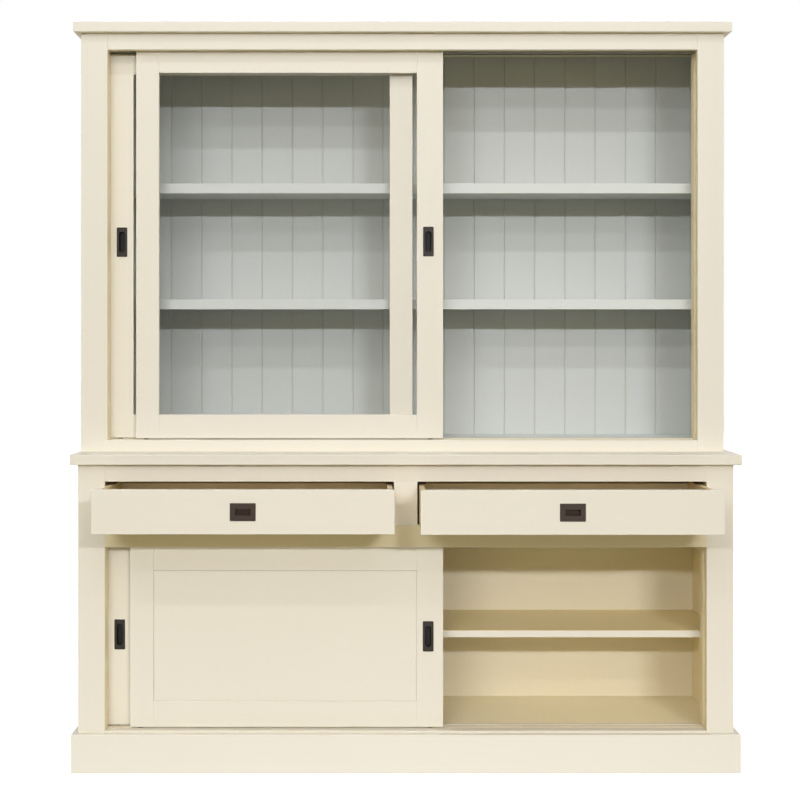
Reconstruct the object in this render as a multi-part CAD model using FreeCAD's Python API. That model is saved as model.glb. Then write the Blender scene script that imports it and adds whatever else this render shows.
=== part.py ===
import FreeCAD, Part
import math
import os

# Dresser: a base with two drawers and two sliding doors, and a glazed hutch with two
# sliding doors that stands on the base's counter.
# Millimetres. +X to the right seen from the front, +Y to the back, +Z up.
# Origin: floor level, middle of the box round the whole dresser as it stands here, with
# both drawers pulled out and all the doors at the left.

# ---------------------------------------------------------------- driving dimensions
# Both units
carcass_width = 1960.0           # over the side panels
base_depth = 430.0               # face frame to back
hutch_depth = 350.0              # face frame to back
hutch_set_left = 8.0             # hutch's middle left of the counter's middle
board_thickness = 31.0           # counter and top board
board_overhang = 20.0            # past the face frame and the sides
board_round = 3.0
side_thickness = 22.0
back_thickness = 12.0
back_rebate = 10.0               # how far a back panel reaches into each side
floor_thickness = 18.0
floor_drop = 6.0                 # sill's top above the floor panel's top
housing_depth = 6.0              # how far floor and mid panel reach into the sides
arris = 1.0                      # bevel on every edge that shows

# Heights of the base, from the ground up
plinth_height = 115.0
plinth_thickness = 18.0
bearer_spacing = 640.0           # between the two bearers under the floor
sill_reveal = 7.0                # sill that shows above the plinth
base_door_opening = 549.0
middle_rail_height = 66.0
drawer_opening_height = 130.0
base_top_rail_height = 51.0

# Heights of the hutch, from the counter up
hutch_bottom_rail_height = 36.0
hutch_door_opening = 1191.5
hutch_top_rail_height = 50.0

# Face frame
frame_thickness = 24.0
post_width = 80.0
centre_stile_width = 70.0
frame_tenon_thickness = 8.0
frame_tenon_length = 18.0
frame_tenon_shoulder = 9.0
divider_thickness = 22.0
mid_panel_thickness = 16.0

# Jambs, sills and head guides that the doors slide in
jamb_thickness = 30.0
jamb_lip = 6.0                   # wood behind the rear door's way
jamb_bite = 10.0                 # how far a closed door reaches into its jamb
jamb_play = 2.0
way_clearance = 1.5              # door to the walls of its way
doors_apart = 5.0                # front door's back to rear door's face
tongue_thickness = 12.0
tongue_rise = 12.0               # tongue above the top of the opening
shoulder_gap = 3.0               # door's shoulder below the top of the opening
head_play = 5.0                  # room to lift a door off its track
base_head_height = 26.0
foot_gap = 4.0                   # sill to door
track_width = 10.0
track_inlay = 2.5
ridge_width = 3.0
ridge_height = 2.5
ridge_bevel = 0.8

# Doors
door_thickness = 22.0
meeting_overlap = 64.0           # the two closed doors overlap by this much
outer_stile_width = 80.0
inner_stile_width = 70.0
hutch_door_top_rail = 78.0
hutch_door_bottom_rail = 72.0
base_door_top_rail = 86.0
base_door_bottom_rail = 77.0
hutch_door_reveal = 83.2         # rear door that shows left of the front door, as it stands
base_door_reveal = 71.1
panel_recess = 7.0               # panel's groove behind the door's face
panel_groove_width = 8.0
panel_groove_depth = 10.0
panel_play = 1.0
panel_slack = 0.2
glass_thickness = 4.0
glass_rebate = 8.0
glass_setback = 12.0             # glass behind the door's face
glass_play = 1.0
bead_bevel = 3.0
door_tenon_thickness = 6.0
door_tenon_setback = 3.0
door_tenon_length = 20.0
door_tenon_shoulder = 14.0

# Black glides in the doors' bottom edges
glide_width = 14.0
glide_thickness = 10.0
glide_housing = 10.0
glide_lift = 0.7                 # glide's foot above the sill
glide_clearance = 0.3            # slot to ridge
glide_bevel = 1.2
inner_glide_inset = 30.0         # from the inner stile's edge
outer_glide_inset = 39.0

# Flush pulls on the doors
flush_width = 32.5
flush_height = 91.0
flush_corner = 3.0
flush_pocket_width = 18.5
flush_pocket_height = 65.0
flush_pocket_depth = 10.5
flush_pocket_bevel = 3.0
pull_plate = 1.4                 # plate that stands proud, all pulls
pull_bevel = 0.8
pull_wall = 1.2
hutch_pull_height = 604.0        # pull's middle above the door's bottom
base_pull_height = 273.0

# Shelves and their pins
hutch_shelf_setback = 95.0       # from the hutch's face frame
hutch_upper_shelf_top = 830.5    # above the counter
hutch_lower_shelf_top = 468.5
hutch_shelf_thickness = 24.0
nosing_height = 31.0
nosing_thickness = 18.0
base_shelf_setback = 100.0
base_shelf_top = 284.5           # above the floor panel
base_shelf_thickness = 21.0
shelf_end_clearance = 0.5
shelf_back_clearance = 0.5
pin_radius = 2.5
pin_insert = 9.0
pin_reach = 9.0
pin_inset = 50.0                 # from the shelf's front and back edges
pin_clearance = 0.3

# Grooved back of the hutch
groove_pitch = 100.0
grooves_set_left = 6.0           # pattern's middle left of the hutch's middle
groove_width = 6.0
groove_depth = 3.0

# Drawers
left_drawer_out = 206.0          # pulled out this far, as it stands
right_drawer_out = 216.0
drawer_gap = 2.0                 # round the drawer front
drawer_front_thickness = 22.0
drawer_lip = 8.0                 # front that laps past the sides
drawer_side_inset = 3.5
drawer_side_thickness = 15.0
drawer_side_lift = 2.0           # side's bottom edge above the front's
drawer_side_height = 114.0
drawer_box_length = 360.0
drawer_back_thickness = 12.0
drawer_back_inset = 12.0
drawer_back_drop = 8.0           # back's top edge below the sides'
drawer_back_housing = 5.0
drawer_bottom_thickness = 6.0
drawer_bottom_rise = 12.0
drawer_bottom_groove = 6.0
drawer_bottom_slack = 0.2
drawer_bottom_play = 0.5
tail_count = 4
tail_length = 12.0
tail_share = 0.62                # tail's root as a share of its pitch
tail_angle = 8.0
runner_clearance = 0.3           # under a drawer side
guide_clearance = 1.0            # beside a drawer side
runner_ledge = 2.0               # ledge past the drawer side
guide_height = 37.0              # guide above the ledge
kicker_width = 20.0
kicker_clearance = 2.0

# Cup pulls let into the drawer fronts
cup_width = 73.5
cup_height = 51.0
cup_corner = 2.0
cup_mouth_width = 44.0
cup_mouth_height = 19.0
cup_mouth_bow = 1.5              # the lip's edge dips this far in the middle
cup_pocket_rise = 7.0            # pocket behind the lip
cup_lip = 2.6
cup_pocket_depth = 11.5
cup_pocket_round = 3.0

# ------------------------------------------------------------------ worked-out places
half_carcass = carcass_width / 2
half_opening = half_carcass - post_width
half_inside = half_carcass - side_thickness
half_stile = centre_stile_width / 2
front_row = frame_thickness + way_clearance
rear_row = front_row + door_thickness + doors_apart
front_way_end = front_row + door_thickness + way_clearance
rear_way_start = rear_row - way_clearance
rear_way_end = rear_row + door_thickness + way_clearance
jamb_depth = rear_way_end + jamb_lip
door_width = half_opening + meeting_overlap / 2 + jamb_bite

base_sill_top = plinth_height + sill_reveal
base_floor_top = base_sill_top - floor_drop
base_floor_bottom = base_floor_top - floor_thickness
base_head = base_sill_top + base_door_opening
mid_panel_bottom = base_head + base_head_height
mid_panel_top = mid_panel_bottom + mid_panel_thickness
drawer_sill = base_head + middle_rail_height
drawer_head = drawer_sill + drawer_opening_height
base_top = drawer_head + base_top_rail_height
counter_top = base_top + board_thickness
hutch_sill_top = counter_top + hutch_bottom_rail_height
hutch_floor_top = hutch_sill_top - floor_drop
hutch_floor_bottom = hutch_floor_top - floor_thickness
hutch_head = hutch_sill_top + hutch_door_opening
hutch_top = hutch_head + hutch_top_rail_height

base_front = (right_drawer_out + pull_plate - base_depth) / 2
back = base_front + base_depth
back_face = back - back_thickness
hutch_front = back - hutch_depth
base_middle = hutch_set_left / 2
hutch_middle = -hutch_set_left / 2

same_place = 0.001


# ------------------------------------------------------------------------ shape tools
def box(x_low, x_high, y_low, y_high, z_low, z_high):
    corner = FreeCAD.Vector(x_low, y_low, z_low)
    return Part.makeBox(x_high - x_low, y_high - y_low, z_high - z_low, corner)


def side_box(side, near, far, y_low, y_high, z_low, z_high):
    """A box given by its distances from the middle; side is -1 for left, 1 for right."""
    x_low, x_high = sorted((side * near, side * far))
    return box(x_low, x_high, y_low, y_high, z_low, z_high)


def prism(points, travel):
    """A closed outline of corner points, pushed along travel."""
    corners = [FreeCAD.Vector(*point) for point in points]
    outline = Part.makePolygon(corners + [corners[0]])
    return Part.Face(outline).extrude(FreeCAD.Vector(*travel))


def bar_along_x(profile, x_low, x_high):
    """A bar with a profile of (y, z) corners."""
    return prism([(x_low, y, z) for y, z in profile], (x_high - x_low, 0, 0))


def bar_along_y(profile, y_low, y_high):
    """A bar with a profile of (x, z) corners."""
    return prism([(x, y_low, z) for x, z in profile], (0, y_high - y_low, 0))


def bar_along_z(profile, z_low, z_high):
    """A bar with a profile of (x, y) corners."""
    return prism([(x, y, z_low) for x, y in profile], (0, 0, z_high - z_low))


def joined(first, *others):
    shape = first
    for other in others:
        shape = shape.fuse(other)
    return shape.removeSplitter()


def less(shape, *wastes):
    for waste in wastes:
        shape = shape.cut(waste)
    return shape


def edges_at(shape, **planes):
    """Edges that lie in all the given planes, such as y=0 or x=5, z=2."""
    found = []
    for edge in shape.Edges:
        spots = [vertex.Point for vertex in edge.Vertexes]
        if all(abs(getattr(spot, axis) - place) < same_place
               for spot in spots for axis, place in planes.items()):
            found.append(edge)
    return found


def bevelled(shape, size, **planes):
    return shape.makeChamfer(size, edges_at(shape, **planes))


def rounded_plate(width, height, corner, middle_x, middle_z, y_low, y_high):
    """An upright plate with rounded corners."""
    plate = box(middle_x - width / 2, middle_x + width / 2, y_low, y_high,
                middle_z - height / 2, middle_z + height / 2)
    uprights = [edge for edge in plate.Edges if abs(edge.tangentAt(0).y) > same_place]
    return plate.makeFillet(corner, uprights)


def slot_block(width, height, middle_x, middle_z, y_low, y_high):
    """An upright block with half-round top and bottom ends."""
    radius = width / 2
    reach = height / 2 - radius
    block = box(middle_x - radius, middle_x + radius, y_low, y_high,
                middle_z - reach, middle_z + reach)
    for end in (-1, 1):
        centre = FreeCAD.Vector(middle_x, y_low, middle_z + end * reach)
        cap = Part.makeCylinder(radius, y_high - y_low, centre, FreeCAD.Vector(0, 1, 0))
        block = block.fuse(cap)
    return block.removeSplitter()


def save(node, solids, middle):
    """Write a node, one solid or a group, moved to the middle of its unit."""
    shape = Part.makeCompound(solids) if len(solids) > 1 else solids[0]
    shape = shape.copy()
    shape.translate(FreeCAD.Vector(middle, 0, 0))
    shape.exportStep("parts/" + node + ".step")


# ------------------------------------------------------------------------- face frame
def rail_tenon(side, front, rail_bottom, rail_top):
    """The tenon at one end of a rail, and the mortise it fills in the post."""
    tenon_front = front + (frame_thickness - frame_tenon_thickness) / 2
    return side_box(side, half_opening, half_opening + frame_tenon_length,
                    tenon_front, tenon_front + frame_tenon_thickness,
                    rail_bottom + frame_tenon_shoulder, rail_top - frame_tenon_shoulder)


def face_rail(front, rail_bottom, rail_top):
    """A rail between the posts, tenoned at both ends."""
    rail = box(-half_opening, half_opening, front, front + frame_thickness,
               rail_bottom, rail_top)
    rail = bevelled(rail, arris, y=front)
    tenons = [rail_tenon(side, front, rail_bottom, rail_top) for side in (-1, 1)]
    return joined(rail, *tenons)


def post(side, front, bottom, top, sill_top, head, rails):
    """A post of the face frame with the jamb return that takes a closed door's edge."""
    slab = side_box(side, half_opening, half_carcass, front, front + frame_thickness,
                    bottom, top)
    slab = bevelled(slab, arris, y=front)
    slab = bevelled(slab, arris, x=side * half_carcass, y=front + frame_thickness)
    jamb = side_box(side, half_opening, half_opening + jamb_thickness,
                    front + frame_thickness, front + jamb_depth, sill_top, head)
    if side > 0:
        way_start, way_end = frame_thickness, front_way_end
    else:
        way_start, way_end = rear_way_start, rear_way_end
    way = side_box(side, half_opening, half_opening + jamb_bite + jamb_play,
                   front + way_start, front + way_end, sill_top, head)
    mortises = [rail_tenon(side, front, low, high) for low, high in rails]
    return less(joined(slab, jamb), way, *mortises)


def head_guide(front, head, top):
    """The rail over the doors, with a way for each door's tongue."""
    way_top = head + tongue_rise + head_play
    rib_start = front_row + tongue_thickness + way_clearance
    rib_end = rear_row + door_thickness - tongue_thickness - way_clearance
    profile = [(frame_thickness, top), (frame_thickness, way_top), (rib_start, way_top),
               (rib_start, head), (rib_end, head), (rib_end, way_top),
               (rear_way_end, way_top), (rear_way_end, head), (jamb_depth, head),
               (jamb_depth, top)]
    return bar_along_x([(front + y, z) for y, z in profile], -half_inside, half_inside)


def track_middles(front):
    return [front + row + door_thickness / 2 for row in (front_row, rear_row)]


def sill(front, front_bottom, board_bottom, sill_top):
    """The front rail and track board under the doors, notched round the posts."""
    rail = box(-half_opening, half_opening, front, front + frame_thickness,
               front_bottom, sill_top)
    rail = bevelled(rail, arris, y=front)
    board = box(-half_inside, half_inside, front + frame_thickness, front + jamb_depth,
                board_bottom, sill_top)
    inlays = [box(-half_opening, half_opening, middle - track_width / 2,
                  middle + track_width / 2, sill_top - track_inlay, sill_top)
              for middle in track_middles(front)]
    return less(joined(rail, board), *inlays)


def sill_tracks(front, sill_top):
    """The two ridged strips let into a sill, one under each door."""
    half_base = track_width / 2
    half_ridge = ridge_width / 2
    ridge_top = sill_top + ridge_height
    profile = [(-half_base, sill_top - track_inlay), (half_base, sill_top - track_inlay),
               (half_base, sill_top), (half_ridge, sill_top),
               (half_ridge, ridge_top - ridge_bevel), (half_ridge - ridge_bevel, ridge_top),
               (ridge_bevel - half_ridge, ridge_top), (-half_ridge, ridge_top - ridge_bevel),
               (-half_ridge, sill_top), (-half_base, sill_top)]
    return [bar_along_x([(middle + y, z) for y, z in profile], -half_opening, half_opening)
            for middle in track_middles(front)]


# ---------------------------------------------------------------------------- carcass
def side_panels(front, bottom, top, back_bottom, housings, pin_places):
    """Both side panels: rebated for the back, housed for the panels, bored for pins."""
    panels = []
    for side in (-1, 1):
        panel = side_box(side, half_inside, half_carcass, front + frame_thickness, back,
                         bottom, top)
        panel = bevelled(panel, arris, x=side * half_carcass, y=front + frame_thickness)
        panel = bevelled(panel, arris, x=side * half_carcass, y=back)
        rebate = side_box(side, half_inside, half_inside + back_rebate, back_face, back,
                          back_bottom, top)
        panel = less(panel, rebate)
        for start, low, high in housings:
            housing = side_box(side, half_inside, half_inside + housing_depth,
                               front + start, back_face, low, high)
            panel = less(panel, housing)
        for y, z in pin_places:
            mouth = FreeCAD.Vector(side * half_inside, y, z)
            outward = FreeCAD.Vector(side, 0, 0)
            panel = less(panel, Part.makeCylinder(pin_radius, pin_insert, mouth, outward))
        panels.append(panel)
    return panels


def housed_panel(front, start, low, high):
    reach = half_inside + housing_depth
    return box(-reach, reach, front + start, back_face, low, high)


def capping_board(front, low):
    """Counter or top board: rounded at the front and the ends, flush at the back."""
    reach = half_carcass + board_overhang
    board = box(-reach, reach, front - board_overhang, back, low, low + board_thickness)
    rims = []
    for level in (low, low + board_thickness):
        rims += edges_at(board, z=level, y=front - board_overhang)
        rims += edges_at(board, z=level, x=-reach)
        rims += edges_at(board, z=level, x=reach)
    for side in (-1, 1):
        rims += edges_at(board, x=side * reach, y=front - board_overhang)
    return board.makeFillet(board_round, rims)


def grooved_back(bottom, top):
    """Back panel with V grooves at a board's pitch, a little left of the middle."""
    reach = half_inside + back_rebate
    count = int((half_inside - grooves_set_left - groove_width) / groove_pitch + 1 / 2)
    outline = [(reach, back), (-reach, back), (-reach, back_face)]
    for index in range(-count, count):
        place = (index + 1 / 2) * groove_pitch - grooves_set_left
        outline.append((place - groove_width / 2, back_face))
        outline.append((place, back_face + groove_depth))
        outline.append((place + groove_width / 2, back_face))
    outline.append((reach, back_face))
    return bar_along_z(outline, bottom, top)


def plinth():
    """Front and side plinth boards, mitred at the front corners."""
    inner = half_carcass
    outer = half_carcass + plinth_thickness
    face = base_front - plinth_thickness
    front_board = bar_along_z([(-outer, face), (outer, face), (inner, base_front),
                               (-inner, base_front)], 0, plinth_height)
    front_board = bevelled(front_board, arris, y=face, z=plinth_height)
    side_boards = []
    for side in (-1, 1):
        outline = [(side * inner, base_front), (side * outer, face), (side * outer, back),
                   (side * inner, back)]
        board = bar_along_z(outline, 0, plinth_height)
        side_boards.append(bevelled(board, arris, x=side * outer, z=plinth_height))
    return front_board, side_boards


def under_boards():
    """The back plinth board and the two bearers that hold up the middle of the floor."""
    inner_face = back - plinth_thickness
    boards = [box(-half_inside, half_inside, inner_face, back, 0, base_floor_bottom)]
    for side in (-1, 1):
        place = side * bearer_spacing / 2
        boards.append(box(place - plinth_thickness / 2, place + plinth_thickness / 2,
                          base_front, inner_face, 0, base_floor_bottom))
    return boards


# ---------------------------------------------------------------------------- shelves
def shelf_depths(front, setback):
    return front + setback, back_face - shelf_back_clearance


def pin_rows(front, setback, underside):
    """Where a shelf's pins stand in a side panel, as (y, z)."""
    shelf_front, shelf_back = shelf_depths(front, setback)
    height = underside - pin_clearance - pin_radius
    return [(shelf_front + pin_inset, height), (shelf_back - pin_inset, height)]


def plain_shelf(front, setback, top, thickness):
    reach = half_inside - shelf_end_clearance
    shelf_front, shelf_back = shelf_depths(front, setback)
    shelf = box(-reach, reach, shelf_front, shelf_back, top - thickness, top)
    return bevelled(shelf, arris, y=shelf_front)


def nosed_shelf(front, setback, top):
    """A shelf whose front edge has a deeper nosing."""
    reach = half_inside - shelf_end_clearance
    shelf_front, shelf_back = shelf_depths(front, setback)
    nosing_back = shelf_front + nosing_thickness
    profile = [(shelf_front, top - nosing_height), (nosing_back, top - nosing_height),
               (nosing_back, top - hutch_shelf_thickness),
               (shelf_back, top - hutch_shelf_thickness), (shelf_back, top),
               (shelf_front, top)]
    shelf = bar_along_x(profile, -reach, reach)
    return bevelled(shelf, arris, y=shelf_front)


def shelf_pins(places):
    """Plain pins let into both side panels."""
    pins = []
    for side in (-1, 1):
        for y, z in places:
            root = FreeCAD.Vector(side * (half_inside + pin_insert), y, z)
            inward = FreeCAD.Vector(-side, 0, 0)
            pins.append(Part.makeCylinder(pin_radius, pin_insert + pin_reach, root, inward))
    return pins


# ------------------------------------------------------------------------------ doors
def flush_pull(middle_x, middle_z, face):
    """Plate with a long round-ended finger pocket, for a door stile."""
    plate = rounded_plate(flush_width, flush_height, flush_corner, middle_x, middle_z,
                          face - pull_plate, face)
    plate = bevelled(plate, pull_bevel, y=face - pull_plate)
    shell = flush_mortise(middle_x, middle_z, face)
    pocket = slot_block(flush_pocket_width, flush_pocket_height, middle_x, middle_z,
                        face - pull_plate, face + flush_pocket_depth)
    pocket = bevelled(pocket, flush_pocket_bevel, y=face + flush_pocket_depth)
    return less(joined(plate, shell), pocket)


def flush_mortise(middle_x, middle_z, face):
    """The square-ended body behind a flush pull's plate, and the mortise it fills."""
    reach = flush_pocket_width / 2 + pull_wall
    rise = flush_pocket_height / 2 + pull_wall
    return box(middle_x - reach, middle_x + reach, face, face + flush_pocket_depth + pull_wall,
               middle_z - rise, middle_z + rise)


def door(name, middle, face, outward, inner_edge, sill_top, head, rail_heights, glazed,
         pull_height):
    """One sliding door. Distances across it run from its inner stile's free edge, to
    the right (outward 1) on a front door and to the left (outward -1) on a rear one."""
    rear = face + door_thickness
    bottom = sill_top + foot_gap
    shoulder = head - shoulder_gap
    top = head + tongue_rise
    top_rail_height, bottom_rail_height = rail_heights
    light_low = bottom + bottom_rail_height
    light_high = top - top_rail_height
    light_near = inner_stile_width
    light_far = door_width - outer_stile_width

    def across(distance):
        return inner_edge + outward * distance

    def piece(near, far, y_low, y_high, z_low, z_high):
        x_low, x_high = sorted((across(near), across(far)))
        return box(x_low, x_high, y_low, y_high, z_low, z_high)

    def framed(near, far, low, high):
        member = piece(near, far, face, rear, low, high)
        return bevelled(bevelled(member, arris, y=face), arris, y=rear)

    # Above the shoulder only the tongue stays: at the face on a front door, at the back
    # on a rear one.
    if outward > 0:
        shoulder_waste = piece(0, door_width, face + tongue_thickness, rear, shoulder, top)
    else:
        shoulder_waste = piece(0, door_width, face, rear - tongue_thickness, shoulder, top)

    stiles = [framed(0, light_near, bottom, top), framed(light_far, door_width, bottom, top)]
    rails = [framed(light_near, light_far, bottom, light_low),
             framed(light_near, light_far, light_high, top)]
    rail_spans = [(bottom, light_low), (light_high, top)]

    if glazed:
        glass_face = face + glass_setback
        rebate = piece(light_near - glass_rebate, light_far + glass_rebate, glass_face, rear,
                       light_low - glass_rebate, light_high + glass_rebate)
        tenon_face = face + door_tenon_setback
        for index, (low, high) in enumerate(rail_spans):
            tenon = piece(light_near - door_tenon_length, light_far + door_tenon_length,
                          tenon_face, tenon_face + door_tenon_thickness,
                          low + door_tenon_shoulder, high - door_tenon_shoulder)
            rails[index] = joined(rails[index], tenon)
            stiles = [less(stile, tenon) for stile in stiles]
        stiles = [less(stile, rebate) for stile in stiles]
        rails = [less(rail, rebate) for rail in rails]
        glass = piece(light_near - glass_rebate + glass_play, light_far + glass_rebate - glass_play,
                      glass_face, glass_face + glass_thickness,
                      light_low - glass_rebate + glass_play, light_high + glass_rebate - glass_play)
        save(name + "_glass", [glass], middle)
        beads = glazing_beads(across(light_near), across(light_far), outward, light_low,
                              light_high, glass_face + glass_thickness, rear)
        save(name + "_glass_beads", beads, middle)
    else:
        groove_face = face + panel_recess
        groove_rear = groove_face + panel_groove_width
        groove = piece(light_near - panel_groove_depth, light_far + panel_groove_depth,
                       groove_face, groove_rear, light_low - panel_groove_depth,
                       light_high + panel_groove_depth)
        for index, (low, high) in enumerate(rail_spans):
            tenon = piece(light_near - panel_groove_depth, light_far + panel_groove_depth,
                          groove_face, groove_rear, low, high)
            rails[index] = joined(rails[index], tenon)
            stiles = [less(stile, tenon) for stile in stiles]
        stiles = [less(stile, groove) for stile in stiles]
        rails = [less(rail, groove) for rail in rails]
        reach = panel_groove_depth - panel_play
        panel = piece(light_near - reach, light_far + reach, groove_face + panel_slack,
                      groove_rear - panel_slack, light_low - reach, light_high + reach)
        save(name + "_panel", [panel], middle)

    stiles = [less(stile, shoulder_waste) for stile in stiles]
    rails = [less(rail, shoulder_waste) for rail in rails]

    glides = []
    for place in (inner_glide_inset, door_width - outer_glide_inset):
        glide, housing = door_glide(across(place), face, bottom, sill_top)
        glides.append(glide)
        stiles = [less(stile, housing) for stile in stiles]
    save(name + "_glides", glides, middle)

    pull_x = across(light_far + (outer_stile_width - jamb_bite) / 2)
    pull_z = bottom + pull_height
    stiles[1] = less(stiles[1], flush_mortise(pull_x, pull_z, face))
    save(name + "_pull", [flush_pull(pull_x, pull_z, face)], middle)
    save(name + "_stiles", stiles, middle)
    save(name + "_rails", rails, middle)


def glazing_beads(near_x, far_x, outward, light_low, light_high, bead_face, rear):
    """Four mitred beads behind the glass, bevelled along the sight edge."""
    x_low, x_high = sorted((near_x, far_x))
    inner = [(x_low, light_low), (x_high, light_low), (x_high, light_high), (x_low, light_high)]
    outer = [(x_low - glass_rebate, light_low - glass_rebate),
             (x_high + glass_rebate, light_low - glass_rebate),
             (x_high + glass_rebate, light_high + glass_rebate),
             (x_low - glass_rebate, light_high + glass_rebate)]
    beads = []
    for start in range(4):
        end = (start + 1) % 4
        bead = bar_along_y([outer[start], outer[end], inner[end], inner[start]],
                           bead_face, rear)
        if start % 2 == 0:
            sight = edges_at(bead, y=rear, z=inner[start][1])
        else:
            sight = edges_at(bead, y=rear, x=inner[start][0])
        beads.append(bead.makeChamfer(bead_bevel, sight))
    return beads


def door_glide(place_x, face, bottom, sill_top):
    """A black block in the door's bottom edge, slotted to straddle the track's ridge."""
    middle_y = face + door_thickness / 2
    x_low = place_x - glide_width / 2
    x_high = place_x + glide_width / 2
    y_low = middle_y - glide_thickness / 2
    y_high = middle_y + glide_thickness / 2
    foot = sill_top + glide_lift
    glide = box(x_low, x_high, y_low, y_high, foot, bottom + glide_housing)
    glide = bevelled(glide, glide_bevel, z=foot)
    half_slot = ridge_width / 2 + glide_clearance
    slot = box(x_low, x_high, middle_y - half_slot, middle_y + half_slot, foot,
               sill_top + ridge_height + glide_clearance)
    housing = box(x_low, x_high, y_low, y_high, bottom, bottom + glide_housing)
    return less(glide, slot), housing


# ---------------------------------------------------------------------------- drawers
def dovetails(low, high, shoulder_y, x_low, x_high):
    """Tails at the front end of a drawer side, which are also the front's sockets."""
    pitch = (high - low) / tail_count
    root = pitch * tail_share / 2
    tip = root + tail_length * math.tan(math.radians(tail_angle))
    tip_y = shoulder_y - tail_length
    tails = []
    for index in range(tail_count):
        centre = low + pitch * (index + 1 / 2)
        outline = [(shoulder_y, centre - root), (tip_y, centre - tip), (tip_y, centre + tip),
                   (shoulder_y, centre + root)]
        tails.append(bar_along_x(outline, x_low, x_high))
    return tails


def cup_pull(middle_x, middle_z, face):
    """Rectangular let-in pull: a scoop that runs up behind a bowed lip."""
    plate = rounded_plate(cup_width, cup_height, cup_corner, middle_x, middle_z,
                          face - pull_plate, face)
    plate = bevelled(plate, pull_bevel, y=face - pull_plate)
    shell = cup_mortise(middle_x, middle_z, face)
    half_mouth = cup_mouth_width / 2
    mouth_low = middle_z - cup_mouth_height / 2
    mouth_high = middle_z + cup_mouth_height / 2
    outside = face - pull_plate
    deepest = face + cup_pocket_depth
    corners = [FreeCAD.Vector(middle_x - half_mouth, outside, mouth_high),
               FreeCAD.Vector(middle_x - half_mouth, outside, mouth_low),
               FreeCAD.Vector(middle_x + half_mouth, outside, mouth_low),
               FreeCAD.Vector(middle_x + half_mouth, outside, mouth_high)]
    dip = FreeCAD.Vector(middle_x, outside, mouth_high - cup_mouth_bow)
    lip_edge = Part.Arc(corners[3], dip, corners[0]).toShape()
    sides = [Part.makeLine(corners[i], corners[i + 1]) for i in range(3)]
    mouth = Part.Face(Part.Wire(sides + [lip_edge]))
    mouth = mouth.extrude(FreeCAD.Vector(0, pull_plate + cup_lip, 0))
    pocket = box(middle_x - half_mouth, middle_x + half_mouth, outside + cup_lip, deepest,
                 mouth_low, mouth_high + cup_pocket_rise)
    top_edge = edges_at(pocket, y=deepest, z=mouth_high + cup_pocket_rise)
    pocket = pocket.makeFillet(cup_pocket_round, top_edge)
    # The floor sweeps in from the mouth's lower edge and stands upright at its top.
    depth = deepest - outside
    sweep_radius = (depth ** 2 + cup_mouth_height ** 2) / (2 * depth)
    sweep = Part.makeCylinder(sweep_radius, cup_mouth_width,
                              FreeCAD.Vector(middle_x - half_mouth, deepest - sweep_radius,
                                             mouth_high), FreeCAD.Vector(1, 0, 0))
    above = box(middle_x - half_mouth, middle_x + half_mouth, outside, deepest, mouth_high,
                mouth_high + cup_pocket_rise)
    hollow = joined(mouth, pocket).common(joined(sweep, above))
    return less(joined(plate, shell), hollow)


def cup_mortise(middle_x, middle_z, face):
    reach = cup_mouth_width / 2 + pull_wall
    return box(middle_x - reach, middle_x + reach, face, face + cup_pocket_depth + pull_wall,
               middle_z - cup_mouth_height / 2 - pull_wall,
               middle_z + cup_mouth_height / 2 + cup_pocket_rise + pull_wall)


def drawer(name, side, pulled_out):
    """A drawer with lapped dovetails, grooved bottom, housed back and a lipped front."""
    middle_x = side * (half_opening + half_stile) / 2
    half_front = (half_opening - half_stile) / 2 - drawer_gap
    half_box = half_front - drawer_side_inset
    face = base_front - pulled_out
    front_rear = face + drawer_front_thickness
    box_end = front_rear + drawer_box_length
    front_low = drawer_sill + drawer_gap
    front_high = drawer_head - drawer_gap
    side_low = front_low + drawer_side_lift
    side_high = side_low + drawer_side_height
    bottom_low = side_low + drawer_bottom_rise
    bottom_high = bottom_low + drawer_bottom_thickness

    front = box(middle_x - half_front, middle_x + half_front, face, front_rear,
                front_low, front_high)
    front = bevelled(front, arris, y=face)
    inner_reach = half_box - drawer_side_thickness
    groove_reach = inner_reach + drawer_bottom_groove
    groove = box(middle_x - groove_reach, middle_x + groove_reach,
                 front_rear - drawer_bottom_groove, box_end, bottom_low, bottom_high)

    sides = []
    for hand in (-1, 1):
        x_low, x_high = sorted((middle_x + hand * inner_reach, middle_x + hand * half_box))
        tails = dovetails(side_low, side_high, front_rear, x_low, x_high)
        lip_low, lip_high = sorted((middle_x + hand * half_box, middle_x + hand * half_front))
        lip_waste = box(lip_low, lip_high, face + drawer_lip, front_rear, front_low, front_high)
        front = less(front, lip_waste, *tails)
        panel = box(x_low, x_high, front_rear, box_end, side_low, side_high)
        panel = bevelled(panel, arris, z=side_high)
        sides.append(less(joined(panel, *tails), groove))

    back_rear = box_end - drawer_back_inset
    back_reach = inner_reach + drawer_back_housing
    back_panel = box(middle_x - back_reach, middle_x + back_reach,
                     back_rear - drawer_back_thickness, back_rear, bottom_high,
                     side_high - drawer_back_drop)
    sides = [less(panel, back_panel) for panel in sides]
    bottom_reach = groove_reach - drawer_bottom_play
    bottom = box(middle_x - bottom_reach, middle_x + bottom_reach,
                 front_rear - drawer_bottom_groove + drawer_bottom_play, box_end,
                 bottom_low + drawer_bottom_slack, bottom_high - drawer_bottom_slack)
    middle_z = (front_low + front_high) / 2
    front = less(front, groove, cup_mortise(middle_x, middle_z, face))

    save(name + "_front", [front], base_middle)
    save(name + "_box", sides + [back_panel], base_middle)
    save(name + "_bottom", [bottom], base_middle)
    save(name + "_pull", [cup_pull(middle_x, middle_z, face)], base_middle)


def drawer_sides_across():
    """How far from the middle the outer faces of a drawer's two sides lie."""
    inner = half_stile + drawer_gap + drawer_side_inset
    outer = half_opening - drawer_gap - drawer_side_inset
    return inner, outer


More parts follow.
